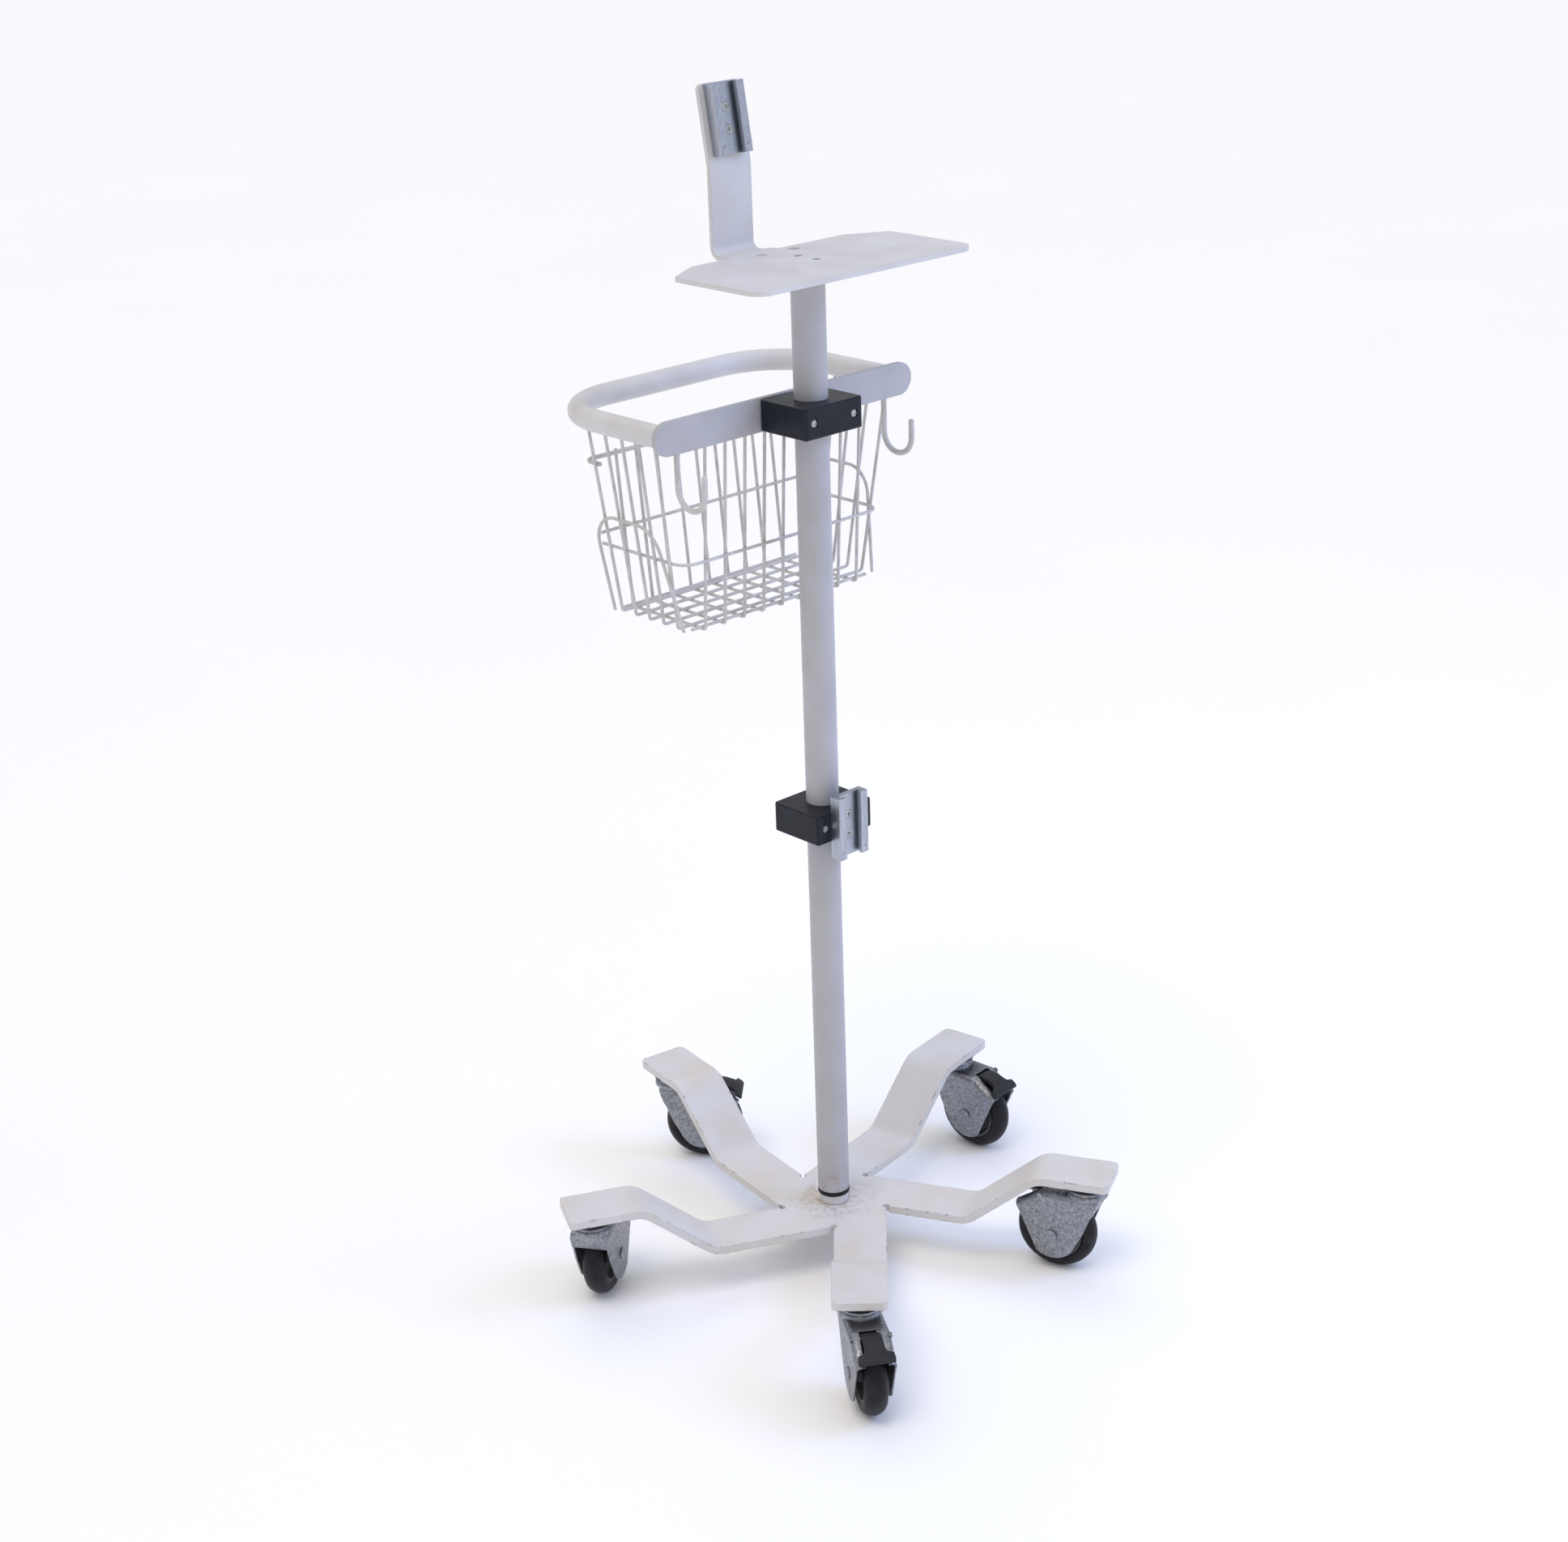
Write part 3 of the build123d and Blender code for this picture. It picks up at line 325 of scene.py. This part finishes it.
# picks vertices, edges or faces of the piece being edited, by a test of place or direction
def pick(kind, test):
    bpy.ops.mesh.select_mode(type=kind)
    bpy.ops.mesh.select_all(action="DESELECT")
    mesh = bpy.context.object.data
    work = bmesh.from_edit_mesh(mesh)
    items = {"VERT": work.verts, "EDGE": work.edges, "FACE": work.faces}[kind]
    for item in items:
        if test(item):
            item.select_set(True)
    work.select_flush_mode()
    bmesh.update_edit_mesh(mesh)


# cuts with a plane, in mm; the cut-off side is the one the direction points to
def cut(place, direction, drop=True):
    place = tuple(v * mm for v in place)
    bpy.ops.mesh.bisect(plane_co=place, plane_no=direction, use_fill=drop, clear_outer=drop)


def deleteFaces(test):
    pick("FACE", test)
    bpy.ops.mesh.delete(type="FACE")


# turns the edge loop in hand into the next ring of a turned shape: radius and height in mm
def nextRing(fromRing, toRing):
    lift = (0, 0, (toRing[1] - fromRing[1]) * mm)
    bpy.ops.mesh.extrude_region_move(TRANSFORM_OT_translate={"value": lift})
    grow = toRing[0] / fromRing[0]
    bpy.ops.transform.resize(value=(grow, grow, 1), center_override=(0, 0, toRing[1] * mm))


# a closed ring turned about Z from its section, given as radius and height
def turnRing(name, section, segments):
    first = section[0]
    settings = {"vertices": segments, "radius": first[0] * mm, "location": (0, 0, first[1] * mm)}
    piece = startPiece(name, settings, bpy.ops.mesh.primitive_circle_add)
    bpy.ops.mesh.select_mode(type="EDGE")
    bpy.ops.mesh.select_all(action="SELECT")
    for here, there in zip(section, section[1:] + [first]):
        nextRing(here, there)
    bpy.ops.mesh.select_all(action="SELECT")
    bpy.ops.mesh.remove_doubles(threshold=0.01 * mm)
    bpy.ops.mesh.normals_make_consistent(inside=False)
    return piece


def finishPiece(piece, modifiers, smoothAngle):
    bpy.ops.object.mode_set(mode="OBJECT")
    for kind, settings in modifiers:
        modifier = piece.modifiers.new(kind.title(), kind)
        for name, value in settings.items():
            setattr(modifier, name, value)
        bpy.ops.object.modifier_apply(modifier=modifier.name)
    bpy.ops.object.shade_smooth_by_angle(angle=math.radians(smoothAngle))


# The caster's pieces are modelled once, in mm: X along the trail, Y along the axle, Z up, and the
# stem at X = 0.
axleAt = (37.0, 50.0)

# Fork: pressed from 2.3 mm sheet, so its shoulders are round and its dome stands proud of the
# plates. The side plates' outline is cut plane by plane: a point along and up, then the direction
# that is cut away. Their round foot is cut in steps, which start and turn by so many degrees.
forkLook = {
    "front": -26.0, "rear": 90.0, "half": 22.5, "crown": 106.8, "lowRadius": 31.0,
    "sides": [((50, 106.8), (0.538, 0.843)), ((84, 86), (0.909, -0.416)),
              ((5, 38), (-0.940, -0.342)), ((-16, 106.8), (-0.8, 0.6))],
    "footCuts": 9, "footStart": -25, "footStep": 16,
    "crease": (-20.0, 92.0, 84.0, 78.0),  # along and up at its two ends
    "dome": 0.9, "shoulder": 6.5, "sheet": 2.3, "edge": 0.4, "edgeAngle": 40,
    "notch": 12.6, "notchStart": 45.0,
    "cup": [(6.3, 105), (25.5, 105), (25.5, 108.6), (24.6, 110.6), (22.8, 111.8), (22.2, 115.2),
            (21.2, 116.2), (6.3, 116.2)],
    "cupEdge": 0.5, "cupSegments": 56,
}


def makeFork(look):
    low = axleAt[1] - look["lowRadius"] - 1  # the cube reaches a little below the round foot
    high = look["crown"]
    middle = ((look["front"] + look["rear"]) / 2 * mm, 0, (low + high) / 2 * mm)
    size = ((look["rear"] - look["front"]) * mm, 2 * look["half"] * mm, (high - low) * mm)
    settings = {"size": 1, "location": middle, "scale": size}
    piece = startPiece("fork", settings, bpy.ops.mesh.primitive_cube_add)
    outline = list(look["sides"])
    for step in range(look["footCuts"]):
        turn = math.radians(look["footStart"] - step * look["footStep"])
        out = (math.cos(turn), math.sin(turn))
        spot = (axleAt[0] + look["lowRadius"] * out[0], axleAt[1] + look["lowRadius"] * out[1])
        outline.append((spot, out))
    for spot, out in outline:
        bpy.ops.mesh.select_all(action="SELECT")
        cut((spot[0], 0, spot[1]), (out[0], 0, out[1]))
    # the crease under the dome
    s0, z0, s1, z1 = look["crease"]
    bpy.ops.mesh.select_all(action="SELECT")
    cut((s0, 0, z0), (z0 - z1, 0, s1 - s0), drop=False)

    def overCrease(place):
        return place.z / mm - z0 - (place.x / mm - s0) * (z1 - z0) / (s1 - s0)

    # round the shoulders, then open the underside, front and back
    pick("EDGE", lambda e: sum(abs(f.normal.y) > 0.9 for f in e.link_faces) == 1
         and min(overCrease(v.co) for v in e.verts) > -0.1)
    bpy.ops.mesh.bevel(offset=look["shoulder"] * mm, segments=5, affect="EDGES",
                       clamp_overlap=True)
    deleteFaces(lambda f: abs(f.normal.y) < 0.5 and overCrease(f.calc_center_median()) < 0)
    pick("FACE", lambda f: overCrease(f.calc_center_median()) > 0)
    bpy.ops.mesh.extrude_region_shrink_fatten(
        TRANSFORM_OT_shrink_fatten={"value": look["dome"] * mm})
    # the notch that the pedal's neck lies in
    for side in (-1, 1):
        pick("FACE", lambda f: abs(f.normal.y) < 0.3)
        cut((0, side * look["notch"], 0), (0, 1, 0), drop=False)
    pick("FACE", lambda f: abs(f.normal.y) < 0.3)
    cut((look["notchStart"], 0, 0), (1, 0, 0), drop=False)
    deleteFaces(lambda f: abs(f.calc_center_median().y) < look["notch"] * mm
                and f.calc_center_median().x > look["notchStart"] * mm)
    bpy.ops.mesh.select_all(action="SELECT")
    bpy.ops.mesh.remove_doubles(threshold=0.02 * mm)
    finishPiece(piece, [
        ("SOLIDIFY", {"thickness": look["sheet"] * mm, "offset": -1.0, "use_even_offset": False}),
        ("BEVEL", {"width": look["edge"] * mm, "segments": 2, "limit_method": "ANGLE",
                   "angle_limit": math.radians(look["edgeAngle"])}),
    ], 40)
    cup = turnRing("cup", look["cup"], look["cupSegments"])
    finishPiece(cup, [
        ("BEVEL", {"width": look["cupEdge"] * mm, "segments": 2, "limit_method": "ANGLE"}),
    ], 40)
    bpy.ops.object.select_all(action="DESELECT")
    cup.select_set(True)
    piece.select_set(True)
    bpy.context.view_layer.objects.active = piece
    bpy.ops.object.join()
    return piece


# Pedal: moulded in one, a neck in the fork's notch that widens to a treadle with a beaked edge.
# Each row is a place along the trail, the height of its middle, its thickness and half its width.
pedalLook = {
    "rows": [(46.5, 103.2, 4.2, 11.0), (50.0, 104.3, 5.4, 11.0), (57.0, 105.0, 6.0, 11.0),
             (66.0, 103.8, 6.0, 11.2), (75.0, 100.4, 6.4, 11.6), (78.6, 98.6, 5.8, 13.0),
             (80.6, 97.0, 5.6, 20.6), (85.0, 94.2, 4.8, 21.2), (88.2, 92.0, 3.4, 20.8)],
    "round": 1.0, "roundAngle": 35,
}


def makePedal(look):
    rows = look["rows"]
    first, second = rows[0], rows[1]
    middle = ((first[0] + second[0]) / 2 * mm, 0, first[1] * mm)
    size = ((second[0] - first[0]) * mm, 2 * first[3] * mm, first[2] * mm)
    settings = {"size": 1, "location": middle, "scale": size}
    piece = startPiece("pedal", settings, bpy.ops.mesh.primitive_cube_add)
    # the cube's far end is moved to the second row, and each row after it is extruded
    pick("FACE", lambda f: f.normal.x > 0.9)
    for here, there in zip(rows, rows[1:]):
        rise = (there[1] - here[1]) * mm
        if here == first:
            bpy.ops.transform.translate(value=(0, 0, rise))
        else:
            move = ((there[0] - here[0]) * mm, 0, rise)
            bpy.ops.mesh.extrude_region_move(TRANSFORM_OT_translate={"value": move})
        grow = (1, there[3] / here[3], there[2] / here[2])
        bpy.ops.transform.resize(value=grow, center_override=(there[0] * mm, 0, there[1] * mm))
    finishPiece(piece, [
        ("BEVEL", {"width": look["round"] * mm, "segments": 3, "limit_method": "ANGLE",
                   "angle_limit": math.radians(look["roundAngle"])}),
    ], 50)
    return piece


# Tread: a solid tyre with a full round crown and a fine parting line left by its mould.
# The section is a radius and a place along the axle, all the way round.
treadLook = {
    "section": [(35.1, -12.8), (36.8, -13.8), (39.5, -14.0), (42.6, -13.2), (45.4, -11.2),
                (47.6, -8.4), (49.0, -5.2), (49.7, -2.2), (49.72, -0.35), (49.98, 0),
                (49.72, 0.35), (49.7, 2.2), (49.0, 5.2), (47.6, 8.4), (45.4, 11.2),
                (42.6, 13.2), (39.5, 14.0), (36.8, 13.8), (35.1, 12.8)],
    "segments": 96,
}
uprightWheel = Matrix.Translation((axleAt[0] * mm, 0, axleAt[1] * mm))
uprightWheel = uprightWheel @ Matrix.Rotation(math.radians(90), 4, "X")


def makeTread(look):
    piece = turnRing("tread", look["section"], look["segments"])
    finishPiece(piece, [], 35)
    piece.data.transform(uprightWheel)
    return piece


# copies a modelled piece to one caster, with a mesh of its own
def placeAtCaster(model, kind, caster):
    stem = jointOf["swivel_" + caster]["pos_m"]
    across = Vector(jointOf["roller_" + caster]["axis"])
    along = across.cross(Vector((0, 0, 1)))
    turn = Matrix((along, across, Vector((0, 0, 1)))).transposed().to_4x4()
    piece = bpy.data.objects.new(f"{kind}_{caster}_made", model.data.copy())
    piece.data.transform(Matrix.Translation((stem[0], stem[1], 0)) @ turn)
    scene.collection.objects.link(piece)
    piece.data.materials.clear()
    return piece


casterModels = [
    ("fork", makeFork(forkLook), "swivel_", "zinc_fork"),
    ("pedal", makePedal(pedalLook), "brake_", "pedal_plastic"),
    ("tread", makeTread(treadLook), "roller_", "tread_rubber"),
]
for kind, model, body, slot in casterModels:
    for caster in casterNames:
        piece = placeAtCaster(model, kind, caster)
        piece.data.materials.append(finishes[finishOfSlot[slot]])
        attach(piece, body + caster)
        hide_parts(f"{kind}_{caster}")
    bpy.data.objects.remove(model)
    print(kind, "placed at", len(casterNames), "casters")

# Floor and sky. The sky is brightest overhead and dims lower down, and a pale band at the horizon
# joins it to the floor. Heights on the sky run from 0 at the horizon to 1 overhead.
stageLook = {
    "floorSize": 60.0, "floorColor": "#ffffff", "floorShade": "#fcfcfc", "shadeSize": 900,
    "floorRoughness": 0.8, "worldColor": "#f3f5fa", "zenith": 0.85, "horizon": 0.27,
    "domeTop": 0.8, "bandLow": 0.1, "bandTop": 0.2,
}
bpy.ops.mesh.primitive_plane_add(size=stageLook["floorSize"], location=(0, 0, 0))
floor = bpy.context.object
floor.name = "floor"
floorMaterial, floorTree, floorPlace = startMaterial("matt floor")
floorTone = mixColor(floorTree, grain(floorTree, floorPlace, stageLook["shadeSize"], 2),
                     hexColor(stageLook["floorColor"]), hexColor(stageLook["floorShade"]))
settings = {"Base Color": floorTone, "Roughness": stageLook["floorRoughness"]}
finishMaterial(floorTree, addNode(floorTree, "ShaderNodeBsdfPrincipled", settings))
floor.data.materials.append(floorMaterial)

world = bpy.data.worlds.new("studio")
world.use_nodes = True
skyTree = world.node_tree
background = skyTree.nodes["Background"]
background.inputs["Color"].default_value = hexColor(stageLook["worldColor"])
skyPlace = addNode(skyTree, "ShaderNodeTexCoord").outputs["Generated"]
skyHeight = addNode(skyTree, "ShaderNodeSeparateXYZ", {0: skyPlace}).outputs["Z"]
skyDome = remap(skyTree, skyHeight, 0.0, stageLook["domeTop"],
                stageLook["horizon"], stageLook["zenith"])
skyBand = remap(skyTree, skyHeight, stageLook["bandLow"], stageLook["bandTop"], 1.0, 0.0)
sky = mathNode(skyTree, "MAXIMUM", skyDome, skyBand)
skyTree.links.new(sky, background.inputs["Strength"])
scene.world = world

# wide soft suns, so that the whole floor is lit alike: where each comes from, and its width in
# degrees
lights = [
    {"name": "window", "from": (0.75, -1.0, 0.75), "soft": 35, "power": 0.5, "color": "#a9c4ff"},
    {"name": "ceiling", "from": (-0.7, -0.15, 1.6), "soft": 30, "power": 0.8, "color": "#fff0de"},
    {"name": "back", "from": (0.5, 1.0, 1.4), "soft": 40, "power": 0.25, "color": "#f4f6ff"},
]
for look in lights:
    data = bpy.data.lights.new(look["name"], "SUN")
    data.angle = math.radians(look["soft"])
    data.energy = look["power"]
    data.color = hexColor(look["color"])[:3]
    lamp = bpy.data.objects.new(look["name"], data)
    lamp.rotation_euler = Vector(look["from"]).to_track_quat("Z", "Y").to_euler()
    scene.collection.objects.link(lamp)

# a cool window high on the right, which only the shelf and the handle are near; its reflection is
# left off, because it would tint the rails
windowLook = {"at": (1.5, -1.5, 2.1), "to": (0.0, 0.0, 1.25), "size": 1.1, "power": 21,
              "color": "#9ab8ff"}
data = bpy.data.lights.new("highWindow", "AREA")
data.size = windowLook["size"]
data.energy = windowLook["power"]
data.color = hexColor(windowLook["color"])[:3]
lamp = bpy.data.objects.new("highWindow", data)
lamp.visible_glossy = False
lamp.location = windowLook["at"]
facing = Vector(windowLook["at"]) - Vector(windowLook["to"])
lamp.rotation_euler = facing.to_track_quat("Z", "Y").to_euler()
scene.collection.objects.link(lamp)

# camera: its place in metres, its angles in degrees and its lens in mm
view = {"at": (-1.9809, -2.1131, 1.7932), "down": 21.84, "turn": -42.29, "roll": -1.98,
        "lens": 62.17, "sensor": 36.0}
camera = bpy.data.objects.new("camera", bpy.data.cameras.new("camera"))
camera.data.lens = view["lens"]
camera.data.sensor_width = view["sensor"]
aim = Matrix.Rotation(math.radians(view["turn"]), 4, "Z")
aim = aim @ Matrix.Rotation(math.radians(90 - view["down"]), 4, "X")
aim = aim @ Matrix.Rotation(math.radians(view["roll"]), 4, "Z")
camera.matrix_world = Matrix.Translation(view["at"]) @ aim
scene.collection.objects.link(camera)
scene.camera = camera
scene.view_settings.view_transform = "Standard"
print("stage set")

bpy.context.view_layer.update()
